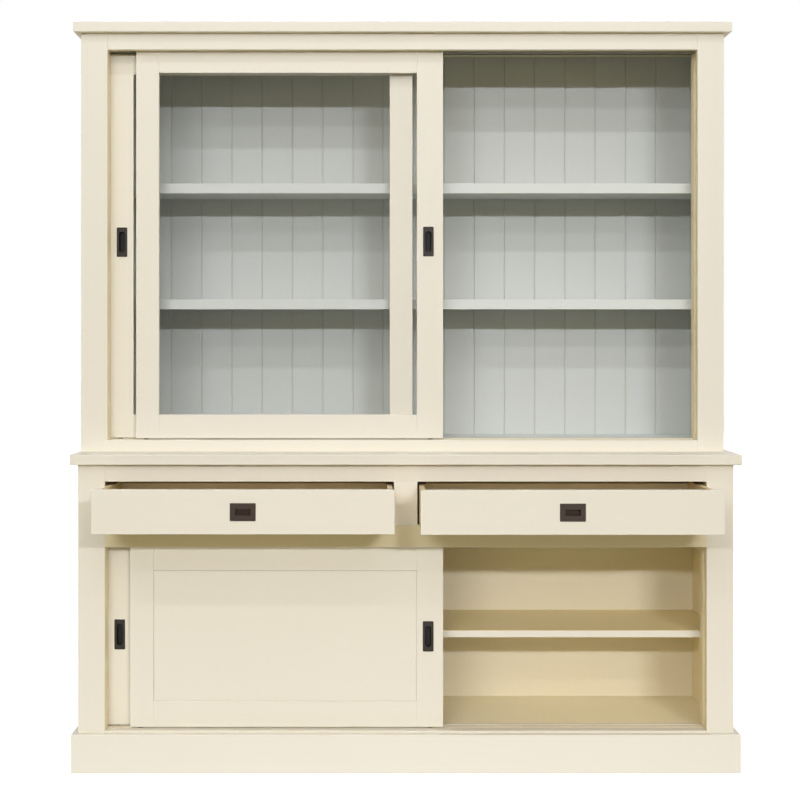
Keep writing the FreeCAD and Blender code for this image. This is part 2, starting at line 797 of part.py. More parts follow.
def drawer_runners():
    """Four L-shaped runners on the mid panel, a ledge and a guide for each drawer side."""
    inner, outer = drawer_sides_across()
    start = base_front + frame_thickness
    ledge = drawer_sill + drawer_gap + drawer_side_lift - runner_clearance
    guide = ledge + guide_height
    ledge_reach = drawer_side_thickness + runner_ledge
    runners = []
    for side in (-1, 1):
        for carrier, wall, tip in (
                (divider_thickness / 2, inner - guide_clearance, inner + ledge_reach),
                (half_inside, outer + guide_clearance, outer - ledge_reach)):
            profile = [(carrier, mid_panel_top), (carrier, guide), (wall, guide),
                       (wall, ledge), (tip, ledge), (tip, mid_panel_top)]
            runners.append(bar_along_y([(side * x, z) for x, z in profile], start, back_face))
    return runners


def drawer_kickers():
    """Four strips under the counter that keep a pulled-out drawer from tipping."""
    inner, outer = drawer_sides_across()
    start = base_front + frame_thickness
    side_high = drawer_sill + drawer_gap + drawer_side_lift + drawer_side_height
    low = side_high + kicker_clearance
    kickers = []
    for side in (-1, 1):
        kickers.append(side_box(side, inner, inner + kicker_width, start, back_face, low, base_top))
        kickers.append(side_box(side, outer - kicker_width, outer, start, back_face, low, base_top))
    return kickers


def centre_stile():
    """The stile between the drawer openings, and the tenons it has top and bottom."""
    tenon_front = base_front + (frame_thickness - frame_tenon_thickness) / 2
    reach = half_stile - frame_tenon_shoulder
    stile = box(-half_stile, half_stile, base_front, base_front + frame_thickness,
                drawer_sill, drawer_head)
    stile = bevelled(stile, arris, y=base_front)
    tenon = box(-reach, reach, tenon_front, tenon_front + frame_tenon_thickness,
                drawer_sill - frame_tenon_length, drawer_head + frame_tenon_length)
    return joined(stile, tenon), tenon


# -------------------------------------------------------------------------- the nodes
def build_base():
    middle_span = (base_head, drawer_sill)
    top_span = (drawer_head, base_top)
    for side, name in ((-1, "base_left_post"), (1, "base_right_post")):
        save(name, [post(side, base_front, 0, base_top, base_sill_top, base_head,
                         (middle_span, top_span))], base_middle)
    stile, stile_tenon = centre_stile()
    save("base_centre_stile", [stile], base_middle)
    for name, span in (("base_middle_rail", middle_span), ("base_top_rail", top_span)):
        save(name, [less(face_rail(base_front, *span), stile_tenon)], base_middle)
    save("base_sill", [sill(base_front, base_floor_bottom, base_floor_bottom,
                            base_sill_top)], base_middle)

    shelf_top = base_floor_top + base_shelf_top
    pins = pin_rows(base_front, base_shelf_setback, shelf_top - base_shelf_thickness)
    housings = [(jamb_depth, base_floor_bottom, base_floor_top),
                (frame_thickness, mid_panel_bottom, mid_panel_top)]
    save("base_sides", side_panels(base_front, 0, base_top, base_floor_bottom, housings,
                                   pins), base_middle)
    save("base_floor", [housed_panel(base_front, jamb_depth, base_floor_bottom,
                                     base_floor_top)], base_middle)
    save("base_mid_panel", [housed_panel(base_front, frame_thickness, mid_panel_bottom,
                                         mid_panel_top)], base_middle)
    back_reach = half_inside + back_rebate
    save("base_back", [box(-back_reach, back_reach, back_face, back, base_floor_bottom,
                           base_top)], base_middle)
    save("base_shelf", [plain_shelf(base_front, base_shelf_setback, shelf_top,
                                    base_shelf_thickness)], base_middle)
    save("drawer_divider", [box(-divider_thickness / 2, divider_thickness / 2,
                                base_front + frame_thickness, back_face, mid_panel_top,
                                base_top)], base_middle)
    save("drawer_runners", drawer_runners(), base_middle)
    save("drawer_kickers", drawer_kickers(), base_middle)
    save("counter", [capping_board(base_front, base_top)], base_middle)
    front_board, side_boards = plinth()
    save("plinth_front", [front_board], base_middle)
    save("plinth_sides", side_boards, base_middle)
    save("under_boards", under_boards(), base_middle)
    return shelf_pins(pins)


def build_hutch():
    top_span = (hutch_head, hutch_top)
    for side, name in ((-1, "hutch_left_post"), (1, "hutch_right_post")):
        save(name, [post(side, hutch_front, counter_top, hutch_top, hutch_sill_top,
                         hutch_head, (top_span,))], hutch_middle)
    save("hutch_top_rail", [face_rail(hutch_front, *top_span)], hutch_middle)
    save("hutch_sill", [sill(hutch_front, counter_top, hutch_floor_bottom,
                             hutch_sill_top)], hutch_middle)
    shelf_tops = [counter_top + hutch_lower_shelf_top, counter_top + hutch_upper_shelf_top]
    pins = []
    for top in shelf_tops:
        pins += pin_rows(hutch_front, hutch_shelf_setback, top - hutch_shelf_thickness)
    housings = [(jamb_depth, hutch_floor_bottom, hutch_floor_top)]
    save("hutch_sides", side_panels(hutch_front, counter_top, hutch_top, counter_top,
                                    housings, pins), hutch_middle)
    save("hutch_floor", [housed_panel(hutch_front, jamb_depth, hutch_floor_bottom,
                                      hutch_floor_top)], hutch_middle)
    save("hutch_back", [grooved_back(counter_top, hutch_top)], hutch_middle)
    save("hutch_shelves", [nosed_shelf(hutch_front, hutch_shelf_setback, top)
                           for top in shelf_tops], hutch_middle)
    save("hutch_top_board", [capping_board(hutch_front, hutch_top)], hutch_middle)
    return shelf_pins(pins)


def at_middle(solids, middle):
    moved = [solid.copy() for solid in solids]
    for solid in moved:
        solid.translate(FreeCAD.Vector(middle, 0, 0))
    return moved


def build_shared(base_pins, hutch_pins):
    """Like pieces of both units: pins, tracks and head guides."""
    save("shelf_pins", at_middle(base_pins, base_middle) + at_middle(hutch_pins, hutch_middle),
         0)
    save("sill_tracks", at_middle(sill_tracks(base_front, base_sill_top), base_middle)
         + at_middle(sill_tracks(hutch_front, hutch_sill_top), hutch_middle), 0)
    save("head_guides",
         at_middle([head_guide(base_front, base_head, mid_panel_bottom)], base_middle)
         + at_middle([head_guide(hutch_front, hutch_head, hutch_top)], hutch_middle), 0)


def build_doors():
    hutch_rails = (hutch_door_top_rail, hutch_door_bottom_rail)
    base_rails = (base_door_top_rail, base_door_bottom_rail)
    for unit, middle, front, reveal, sill_top, head, rail_heights, glazed, pull_height in (
            ("hutch", hutch_middle, hutch_front, hutch_door_reveal, hutch_sill_top, hutch_head,
             hutch_rails, True, hutch_pull_height),
            ("base", base_middle, base_front, base_door_reveal, base_sill_top, base_head,
             base_rails, False, base_pull_height)):
        door(unit + "_front_door", middle, front + front_row, 1, reveal - half_opening,
             sill_top, head, rail_heights, glazed, pull_height)
        door(unit + "_rear_door", middle, front + rear_row, -1, meeting_overlap / 2,
             sill_top, head, rail_heights, glazed, pull_height)


os.makedirs("parts", exist_ok=True)
base_pin_solids = build_base()
hutch_pin_solids = build_hutch()
build_shared(base_pin_solids, hutch_pin_solids)
build_doors()
drawer("left_drawer", -1, left_drawer_out)
drawer("right_drawer", 1, right_drawer_out)
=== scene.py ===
import math
import bpy
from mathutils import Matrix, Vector


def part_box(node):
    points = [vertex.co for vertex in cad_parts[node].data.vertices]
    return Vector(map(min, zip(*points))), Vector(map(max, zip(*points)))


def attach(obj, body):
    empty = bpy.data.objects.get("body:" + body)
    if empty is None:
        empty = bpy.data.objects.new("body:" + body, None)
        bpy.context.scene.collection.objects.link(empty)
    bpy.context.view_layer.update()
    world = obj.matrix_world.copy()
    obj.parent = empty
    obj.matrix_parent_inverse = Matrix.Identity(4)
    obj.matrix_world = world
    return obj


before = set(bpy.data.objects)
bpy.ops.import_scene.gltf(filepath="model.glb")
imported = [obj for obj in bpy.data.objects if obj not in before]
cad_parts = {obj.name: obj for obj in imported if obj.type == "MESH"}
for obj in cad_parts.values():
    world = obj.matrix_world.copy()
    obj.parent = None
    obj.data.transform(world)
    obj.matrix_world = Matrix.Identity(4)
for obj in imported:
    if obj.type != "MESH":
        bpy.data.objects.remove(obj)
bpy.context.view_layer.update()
bpy.ops.object.select_all(action="DESELECT")

# ------------------------------------------------------------------ light and camera
# Metres and degrees. The dresser's face frame is the plane that distances are
# measured from.
face_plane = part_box("base_left_post")[0].y
base_middle = (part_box("base_left_post")[0].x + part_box("base_right_post")[1].x) / 2

# Camera: from the face frame, over the floor, left of the base's middle
camera_distance = 4.0
camera_height = 1.2847
camera_left = 0.1009
lens = 60.2
frame_shift_x = 0.035
frame_shift_y = -0.0725
camera_sight = 100.0             # nothing further away is seen

# Name, middle to the right of the base's middle, distance in front, height, length,
# drop, watts, spread in degrees, height it points at
lamps = (
    ("window_light", 2.55, 8.23, 3.46, 1.9, 0.12, 37.2, 75.0, 0.0),
    ("far_window_light", -2.5, 8.23, 3.46, 3.0, 0.12, 30.4, 75.0, 0.0),
    ("far_tube", -1.0, 5.80, 4.27, 6.0, 0.05, 22.0, 130.0, 2.6),
    ("near_tube", -1.0, 3.70, 4.40, 6.0, 0.05, 22.4, 120.0, 2.8),
    ("overhead_tube", 0.0, 1.18, 3.81, 7.0, 0.05, 25.0, 180.0, 0.0),
)
unreflected_lamp = "far_window_light"
lamp_colour = (0.98, 1.0, 1.07)

# Light from the room's front, back and ceiling, and from the floor near the dresser
room_glow = (0.56, 0.46, 0.22)
rear_glow = (0.62, 0.60, 0.55)
ceiling_glow = (0.22, 0.23, 0.28)
floor_glow = (0.58, 0.53, 0.36)
floor_glow_reach = 1.6           # in front of the frame's origin
floor_glow_fade = 0.3            # either side of that line
foot_glow = (0.63, 0.625, 0.60)
foot_glow_reach = 0.65
foot_glow_fade = 0.1

# The floor as the camera and the glass see it: its paint and its own light
floor_white = 0.5
floor_brightness = 0.9
floor_size = 30.0


# ------------------------------------------------------------------------ shader maths
class Field:
    """A value that changes over a surface, which adds and multiplies like a number."""

    def __init__(self, recipe, socket):
        self.recipe = recipe
        self.socket = socket

    def math(self, operation, first, second):
        return self.recipe.node("ShaderNodeMath", {"operation": operation},
                                {0: first, 1: second})

    def __add__(self, other):
        return self.math("ADD", self, other)

    def __radd__(self, other):
        return self.math("ADD", other, self)

    def __sub__(self, other):
        return self.math("SUBTRACT", self, other)

    def __rsub__(self, other):
        return self.math("SUBTRACT", other, self)

    def __mul__(self, other):
        return self.math("MULTIPLY", self, other)

    def __rmul__(self, other):
        return self.math("MULTIPLY", other, self)

    def largest(self, other):
        return self.math("MAXIMUM", self, other)


class Recipe:
    """The nodes of a material, or of the room's light."""

    # Rays that look at a thing, straight or by way of a gloss or glass. The rest light it.
    seeing_rays = ("Is Camera Ray", "Is Glossy Ray", "Is Transmission Ray")

    def __init__(self, tree):
        self.tree = tree

    def node(self, kind, settings, values, output=0):
        """Add a node, set it up, then give its sockets values or links."""
        node = self.tree.nodes.new(kind)
        for setting, value in settings.items():
            setattr(node, setting, value)
        for socket, value in values.items():
            self.feed(node.inputs[socket], value)
        return Field(self, node.outputs[output])

    def feed(self, socket, value):
        if isinstance(value, Field):
            self.tree.links.new(value.socket, socket)
        else:
            socket.default_value = value

    def mix(self, factor, first, second):
        """Colour first where factor is 0, second where it is 1."""
        return self.node("ShaderNodeMix", {"data_type": "RGBA"},
                         {"Factor": factor, 6: first, 7: second}, 2)

    def along(self, first, second):
        """How far one direction points along another."""
        return self.node("ShaderNodeVectorMath", {"operation": "DOT_PRODUCT"},
                         {0: first, 1: second}, "Value")

    def is_ray(self, kind):
        """1 for rays of one kind, 0 for all others."""
        return self.node("ShaderNodeLightPath", {}, {}, kind)


class Finish(Recipe):
    """A material: one shader, its constant values, and the nodes that vary the rest."""

    feelers = 4                  # rays that look for an edge or a joint

    def __init__(self, name, **constants):
        self.material = bpy.data.materials.new(name)
        self.material.use_nodes = True
        super().__init__(self.material.node_tree)
        self.shader = self.tree.nodes["Principled BSDF"]
        for socket, value in constants.items():
            self.shader.inputs[socket.replace("_", " ")].default_value = value
        self.place = self.node("ShaderNodeTexCoord", {}, {}, "Object")

    def set(self, **fields):
        for socket, value in fields.items():
            self.feed(self.shader.inputs[socket.replace("_", " ")], value)

    def stretched(self, scale):
        """Object coordinates squeezed or stretched along each axis."""
        return self.node("ShaderNodeMapping", {}, {"Vector": self.place, "Scale": scale})

    def noise(self, place, scale, detail, roughness=0.5):
        return self.node("ShaderNodeTexNoise", {}, {
            "Vector": place, "Scale": scale, "Detail": detail, "Roughness": roughness})

    def ramped(self, value, at_none, at_full):
        """0 where value is at_none, 1 where it is at_full, and a smooth step between."""
        return self.node("ShaderNodeMapRange", {"interpolation_type": "SMOOTHSTEP"}, {
            "Value": value, "From Min": at_none, "From Max": at_full})

    def edges(self, radius):
        """1 on sharp outer edges and in inner corners, 0 on flats."""
        rounded = self.node("ShaderNodeBevel", {"samples": self.feelers}, {"Radius": radius})
        flat = self.node("ShaderNodeNewGeometry", {}, {}, "Normal")
        return self.ramped(self.along(rounded, flat), at_none=0.995, at_full=0.85)

    def crevices(self, reach):
        """1 deep in a joint or an inner corner, 0 in the open."""
        openness = self.node("ShaderNodeAmbientOcclusion", {"samples": self.feelers},
                             {"Distance": reach}, "AO")
        return self.ramped(openness, at_none=0.9, at_full=0.35)

    def bump(self, height, distance, strength):
        return self.node("ShaderNodeBump", {}, {
            "Height": height, "Distance": distance, "Strength": strength}, "Normal")


def colour(red, green, blue):
    """A colour given as it is seen, 0 to 255, as the shader wants it."""
    seen = [value / 255.0 for value in (red, green, blue)]
    linear = [value / 12.92 if value <= 0.04045 else ((value + 0.055) / 1.055) ** 2.4
              for value in seen]
    return (*linear, 1.0)


def grey(value):
    return (value, value, value, 1.0)


def shade(base, factor):
    return (*[part * factor for part in base[:3]], 1.0)


black = grey(0.0)
white = grey(1.0)


def whitened(base, share):
    """A colour moved a share of the way to white."""
    return (*[part + (1.0 - part) * share for part in base[:3]], 1.0)


def shaded_brown(base):
    """A paint colour darkened brown, for painted shade."""
    return (base[0] * 0.55, base[1] * 0.45, base[2] * 0.3, 1.0)


# ---------------------------------------------------------------------------- finishes
# Grain is drawn out twenty times along its own axis
grain_along = {"x": (0.05, 1.0, 1.0), "y": (1.0, 0.05, 1.0), "z": (1.0, 1.0, 0.05)}

# Marks to a metre of paint
grain_scale = 190.0
peel_scale = 420.0
cloud_scale = 2.3

# What they do to it: its tint is multiplied by the shades
cloud_shades = (0.98, 1.015)
grain_shade = 0.97
grain_cover = 0.3
peel_depth = 0.5
paint_relief = 0.00006           # metres

# How far from an edge or a joint the painted highlight and the painted shade reach, and how
# strong they are
edge_radius = 0.0034
highlight_whitening = 0.65
joint_reach = 0.002
joint_shade = 0.6


def painted_wood(name, base, along, sheen_roughness, grain_depth, edge_highlight=0.9):
    """Sprayed paint on planed wood: faint grain, fine orange peel, a painted highlight along
    the edges and painted shade in the joints and inner corners."""
    paint = Finish(name, Roughness=sheen_roughness, Specular_IOR_Level=0.16)
    grain = paint.noise(paint.stretched(grain_along[along]), grain_scale, detail=3.0,
                        roughness=0.6)
    peel = paint.noise(paint.place, peel_scale, detail=2.0)
    clouds = paint.noise(paint.place, cloud_scale, detail=3.0)
    edge = paint.edges(edge_radius)
    joint = paint.crevices(joint_reach)
    grained = paint.ramped(grain, at_none=0.35, at_full=0.75)
    body = paint.mix(clouds, shade(base, cloud_shades[0]), shade(base, cloud_shades[1]))
    body = paint.mix(grained * grain_cover, body, shade(base, grain_shade))
    # Painted highlight along the edges
    body = paint.mix(edge * edge_highlight, body, whitened(base, highlight_whitening))
    # Painted shade, brown, in the joints, grooves and inner corners
    body = paint.mix(joint * joint_shade, body, shaded_brown(base))
    paint.set(Base_Color=body,
              Roughness=sheen_roughness + (clouds - 0.5) * 0.10 + edge * 0.08,
              Normal=paint.bump(grain * grain_depth + peel * peel_depth,
                                distance=paint_relief, strength=0.7))
    return paint.material


def bare_timber(name, pale, dark, along):
    """Planed wood with growth rings along the piece."""
    timber = Finish(name, Specular_IOR_Level=0.3)
    place = timber.stretched(grain_along[along])
    warp = timber.noise(place, 9.0, detail=3.0)
    rings = timber.node("ShaderNodeTexWave",
                        {"wave_type": "BANDS", "bands_direction": "DIAGONAL"},
                        {"Vector": place, "Scale": 26.0, "Distortion": 5.0, "Detail": 2.0},
                        "Fac")
    fibre = timber.noise(place, 260.0, detail=3.0, roughness=0.65)
    fibres = timber.ramped(fibre, at_none=0.55, at_full=0.8)
    body = timber.mix(rings * 0.55 + warp * 0.35, pale, dark)
    body = timber.mix(fibres * 0.3, body, shade(dark, 0.8))
    timber.set(Base_Color=body, Roughness=0.62 + fibre * 0.15,
               Normal=timber.bump(fibre + rings * 0.5, distance=0.0001, strength=0.6))
    return timber.material


def window_glass(name):
    """Clear sheet glass with a breath of haze and wiping marks."""
    glass = Finish(name, Specular_IOR_Level=0.6)
    clean_tint = (0.32, 0.36, 0.34, 1.0)
    hazy_tint = (0.40, 0.43, 0.41, 1.0)
    wipes = glass.noise(glass.stretched((1.0, 1.0, 0.35)), 7.0, detail=4.0, roughness=0.6)
    smears = glass.ramped(wipes, at_none=0.55, at_full=0.8)
    glancing = glass.node("ShaderNodeLayerWeight", {}, {"Blend": 0.12}, "Fresnel")
    glass.set(Base_Color=glass.mix(wipes, clean_tint, hazy_tint),
              Alpha=0.012 + wipes * 0.01 + glancing * 0.12,
              Roughness=0.02 + smears * 0.06)
    glass.material.surface_render_method = "BLENDED"
    return glass.material


def bronzed_metal(name, dark, pale):
    """Dark bronze lacquer over brass, blacker in the hollows with patina and painted shade,
    rubbed along the edges.
    """
    metal = Finish(name, Metallic=0.35, Specular_IOR_Level=0.4)
    patina_and_shade = colour(22, 19, 18)
    brass = colour(104, 86, 68)
    mottle = metal.noise(metal.place, 160.0, detail=4.0, roughness=0.6)
    cast = metal.noise(metal.place, 900.0, detail=2.0)
    scuffs = metal.noise(metal.place, 240.0, detail=3.0)
    edge = metal.edges(0.0009)
    hollow = metal.crevices(0.008)
    rubbed = metal.ramped(scuffs * edge, at_none=0.25, at_full=0.6)
    body = metal.mix(mottle, dark, pale)
    # Patina and painted shade, near black, deep in the hollows
    body = metal.mix(hollow * 0.75, body, patina_and_shade)
    body = metal.mix(rubbed * 0.4, body, brass)
    metal.set(Base_Color=body, Roughness=0.46 + mottle * 0.16 - rubbed * 0.12,
              Normal=metal.bump(cast + mottle, distance=0.00004, strength=0.6))
    return metal.material


def moulded_plastic(name, base, roughness):
    """Matt moulded plastic, rubbed darker in streaks along its run."""
    plastic = Finish(name, Specular_IOR_Level=0.45)
    texture = plastic.noise(plastic.place, 1400.0, detail=2.0)
    rubs = plastic.noise(plastic.stretched((0.04, 1.0, 1.0)), 500.0, detail=3.0)
    streaks = plastic.ramped(rubs, at_none=0.5, at_full=0.8)
    plastic.set(Base_Color=plastic.mix(streaks * 0.4, base, shade(base, 0.78)),
                Roughness=roughness + rubs * 0.12,
                Normal=plastic.bump(texture, distance=0.00003, strength=0.5))
    return plastic.material


def plain_steel(name):
    """Bright drawn steel, brushed along the pin."""
    steel = Finish(name, Metallic=1.0)
    dull = colour(176, 174, 168)
    bright = colour(208, 206, 200)
    brushed = steel.noise(steel.stretched((0.1, 1.0, 1.0)), 900.0, detail=3.0)
    steel.set(Base_Color=steel.mix(brushed, dull, bright), Roughness=0.28 + brushed * 0.2,
              Normal=steel.bump(brushed, distance=0.00002, strength=0.5))
    return steel.material


# Paints: cream and pale grey as they are, and copies of them tinted as painted light and painted
# shade for the places they go
cream = (0.80, 0.762, 0.665, 1.0)
# Painted shade: cream warmed and darkened for the rail under the open drawers
drawer_rail_shade_tint = (0.79, 0.715, 0.49, 1.0)
# Painted shade: warm cream for undersides and for the mid panel under the drawers
shaded_cream_tint = (0.84, 0.76, 0.545, 1.0)
# Painted warm bounce light on the base's back
back_bounce_tint = (0.84, 0.765, 0.59, 1.0)
# Painted warm bounce light on the base's floor
floor_bounce_tint = (0.90, 0.82, 0.60, 1.0)
# Painted warm light on the base shelf's top
shelf_top_light_tint = (0.88, 0.76, 0.45, 1.0)
# Painted shade: golden cream for jambs, door-groove walls and the base's inner sides
jamb_shade_tint = (0.91, 0.795, 0.525, 1.0)
# Painted light: brighter cream for the drawer boxes' ends
drawer_light_tint = (0.93, 0.88, 0.75, 1.0)
# Painted shade: darker golden cream for the drawer boxes' sides and their edges
drawer_shade_tint = (0.70, 0.57, 0.33, 1.0)
# Painted light: paler grey for the hutch shelves' fronts and the hutch floor
grey_light_tint = (0.68, 0.71, 0.69, 1.0)
pale_grey = (0.625, 0.65, 0.635, 1.0)
# Painted shade: dark grey for the hutch's head guide
guide_shade_tint = (0.30, 0.285, 0.225, 1.0)

# Their sheen, as roughness, and how deep the grain shows through them
satin = 0.40
eggshell = 0.48
matt = 0.50
dead_matt = 0.55
open_grain = 0.9
filled_grain = 0.6

cream_upright = painted_wood("cream paint, upright grain", cream, "z", satin, open_grain)
cream_across = painted_wood("cream paint, level grain", cream, "x", satin, open_grain)
cream_deep = painted_wood("cream paint, grain to the back", cream, "y", satin, open_grain)
drawer_rail_shaded = painted_wood("cream paint, painted shade, drawer rail", drawer_rail_shade_tint, "x", satin, open_grain)
shaded_upright = painted_wood("cream paint, painted shade, upright grain", jamb_shade_tint, "z",
                              eggshell, open_grain, edge_highlight=0.2)
bounce_lit_back = painted_wood("cream paint, painted bounce light, base back", back_bounce_tint, "z",
                           eggshell, open_grain, edge_highlight=0.2)
shaded_level = painted_wood("cream paint, painted shade, level grain", shaded_cream_tint, "x",
                             eggshell, open_grain, edge_highlight=0.2)
bounce_lit_floor = painted_wood("cream paint, painted bounce light, base floor", floor_bounce_tint, "x",
                            eggshell, open_grain, edge_highlight=0.2)
warm_lit_shelf = painted_wood("cream paint, painted warm light, base shelf", shelf_top_light_tint, "x",
                            eggshell, open_grain, edge_highlight=0.2)
lit_drawer_box = painted_wood("cream paint, painted light, drawer ends", drawer_light_tint, "x",
                             eggshell, open_grain, edge_highlight=0.0)
shaded_drawer_sides = painted_wood("golden cream paint", drawer_shade_tint, "y",
                            matt, open_grain, edge_highlight=0.0)
lit_grey_paint = painted_wood("pale grey paint, painted light", grey_light_tint, "x",
                            matt, filled_grain)
grey_upright = painted_wood("pale grey paint, upright grain", pale_grey, "z",
                            dead_matt, filled_grain, edge_highlight=0.1)
grey_across = painted_wood("pale grey paint, level grain", pale_grey, "x",
                           dead_matt, filled_grain, edge_highlight=0.3)
shaded_guide_paint = painted_wood("grey paint, painted shade, hutch guide", guide_shade_tint, "x",
                          dead_matt, filled_grain, edge_highlight=0.1)

# Wood, glass, metal and plastic
softwood = bare_timber("softwood", colour(206, 178, 132), colour(168, 132, 86), "y")
# Runners, kickers and divider darkened as painted shade
shaded_beech = bare_timber("waxed beech runners", colour(74, 60, 44), colour(48, 38, 28), "y")
guide_beech = bare_timber("waxed beech guides", colour(132, 115, 82), colour(104, 88, 58), "x")
plywood = bare_timber("birch plywood", colour(214, 192, 152), colour(190, 160, 116), "x")
clear_glass = window_glass("clear glass")
bronze = bronzed_metal("dark bronze", colour(47, 36, 29), colour(68, 54, 44))
black_bronze = bronzed_metal("blackened bronze", colour(40, 35, 31), colour(58, 52, 47))
# The pulls' recesses, near black as painted shade
shaded_recess_bronze = bronzed_metal("bronze, painted shade, recess", colour(16, 16, 15), colour(27, 27, 25))
black_nylon = moulded_plastic("black nylon", (0.018, 0.018, 0.019, 1.0), 0.42)
ivory_strip = moulded_plastic("ivory strip", colour(214, 204, 180), 0.38)
steel = plain_steel("plain steel")

finish_of = {
    "base_sides": cream_upright, "base_left_post": cream_upright,
    "base_right_post": cream_upright, "base_centre_stile": cream_upright,
    "base_top_rail": cream_across, "base_middle_rail": drawer_rail_shaded,
    "base_sill": cream_across, "base_floor": bounce_lit_floor, "base_mid_panel": shaded_level,
    "base_back": bounce_lit_back, "base_shelf": warm_lit_shelf, "counter": cream_across,
    "plinth_front": cream_across, "plinth_sides": cream_deep, "head_guides": guide_beech,
    "hutch_left_post": cream_upright, "hutch_right_post": cream_upright,
    "hutch_top_rail": cream_across, "hutch_sill": cream_across,
    "hutch_top_board": cream_across, "hutch_sides": cream_upright,
    "hutch_back": grey_upright, "hutch_floor": lit_grey_paint, "hutch_shelves": grey_across,
    "drawer_divider": shaded_beech, "drawer_runners": shaded_beech, "drawer_kickers": shaded_beech,
    "under_boards": softwood, "sill_tracks": ivory_strip, "shelf_pins": steel,
}
ending_finish = {
    "_stiles": cream_upright, "_rails": cream_across, "_panel": cream_upright,
    "_glass_beads": cream_across, "_glass": clear_glass, "_glides": black_nylon,
    "drawer_front": cream_across, "drawer_box": lit_drawer_box, "drawer_bottom": plywood,
    "drawer_pull": bronze, "door_pull": black_bronze,
}
for node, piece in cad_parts.items():
    finish = finish_of.get(node)
    for ending, material in ending_finish.items():
        if finish is None and node.endswith(ending):
            finish = material
    piece.data.materials.clear()
    piece.data.materials.append(finish)


def second_finish(node, material, chosen):
    """Give a node's faces another finish where chosen(middle, normal) says so."""
    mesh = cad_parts[node].data
    mesh.materials.append(material)
    for face in mesh.polygons:
        if chosen(face.center, face.normal):
            face.material_index = 1


looks_along = 0.9                # a face looks along an axis if its normal is past this,
looks_across = 0.1               # and across it if its normal is within this
side_reach = 0.02                # sides outside their room's floor, at most
arris_depth = 0.0015             # behind a post's face
pull_plate = 0.0016              # a pull's plate is in front of this
hutch_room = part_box("hutch_floor")
base_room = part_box("base_floor")


def faces_into(room):
    """Chooses side faces that look into the room between two sides."""
    return lambda middle, normal: (
        normal.x * (room[0].x + room[1].x - 2 * middle.x) > 0
        and abs(normal.x) > looks_along
        and room[0].x - side_reach < middle.x < room[1].x + side_reach)


def faces_in_opening(post):
    """Chooses a post's jamb and the walls of the grooves that the doors close into."""
    low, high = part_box(post)
    across = 1 if low.x + high.x < 2 * base_middle else -1
    return lambda middle, normal: (
        (normal.x * across > looks_along or normal.y < -looks_along)
        and middle.y > low.y + arris_depth)


def faces_down(middle, normal):
    return normal.z < -looks_along


def faces_forward(middle, normal):
    return normal.y < -looks_along


def faces_sideways(middle, normal):
    return abs(normal.y) < looks_across


def faces_of_hutch(middle, normal):
    return middle.z > hutch_room[0].z


def faces_behind_plate(pull):
    """Chooses the faces of a pull that lie behind its face plate."""
    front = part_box(pull)[0].y
    return lambda middle, normal: middle.y > front + pull_plate


# Jambs and door-groove walls in painted shade
for post in ("hutch_left_post", "hutch_right_post", "base_left_post", "base_right_post"):
    second_finish(post, shaded_upright, faces_in_opening(post))
# Undersides of rails and boards in painted shade
for rail in ("hutch_top_rail", "base_top_rail", "base_middle_rail", "counter",
             "hutch_top_board"):
    second_finish(rail, shaded_level, faces_down)
# The faces behind each door pull's plate take the recess's painted shade
for door in ("hutch_front_door", "hutch_rear_door", "base_front_door", "base_rear_door"):
    second_finish(door + "_pull", shaded_recess_bronze, faces_behind_plate(door + "_pull"))
# Drawer box sides in painted shade
for box in ("left_drawer_box", "right_drawer_box"):
    second_finish(box, shaded_drawer_sides, faces_sideways)
# The hutch's head guide in painted shade
second_finish("head_guides", shaded_guide_paint, faces_of_hutch)
second_finish("hutch_sides", grey_upright, faces_into(hutch_room))
# The base's inner sides in painted shade
second_finish("base_sides", shaded_upright, faces_into(base_room))
# Hutch shelf fronts brightened as painted light
second_finish("hutch_shelves", lit_grey_paint, faces_forward)
# The base shelf's front keeps plain cream; the rest carries painted warm light
second_finish("base_shelf", cream_across, faces_forward)


# ------------------------------------------------------------------------------ screws
screw_radius = 0.0025
screw_rise = 0.0011
screw_dome = 0.7                 # share of the rise that is rounded off
screw_sides = 20
dome_steps = 4
smooth_below = 40.0              # degrees between faces that shade as one
first_turn = 57.0                # degrees, of the first screw
turn_step = 37.0                 # from each screw to the next
recess_arm = 0.0015
recess_width = 0.0006
recess_depth = 0.0008


def choose_faces(mesh, wanted):
    """Select only the faces for which wanted(middle, normal) is true."""
    for part in (*mesh.vertices, *mesh.edges, *mesh.polygons):
        part.select = False
    for face in mesh.polygons:
        face.select = wanted(face.center, face.normal)


def recess_cutter():
    """A square peg with four arms, which leaves a cross recess."""
    bpy.ops.mesh.primitive_cube_add(size=recess_width, location=(0.0, 0.0, 0.0))
    cutter = bpy.context.object
    cutter.scale.y = 2 * recess_depth / recess_width
    bpy.ops.object.transform_apply(scale=True)
    for arm in (Vector((1, 0, 0)), Vector((-1, 0, 0)), Vector((0, 0, 1)), Vector((0, 0, -1))):
        choose_faces(cutter.data, lambda middle, normal: (
            normal.dot(arm) > looks_along and middle.length < recess_width))
        bpy.ops.object.mode_set(mode="EDIT")
        bpy.ops.mesh.extrude_region_move(TRANSFORM_OT_translate={
            "value": arm * (recess_arm - recess_width / 2)})
        bpy.ops.object.mode_set(mode="OBJECT")
    return cutter


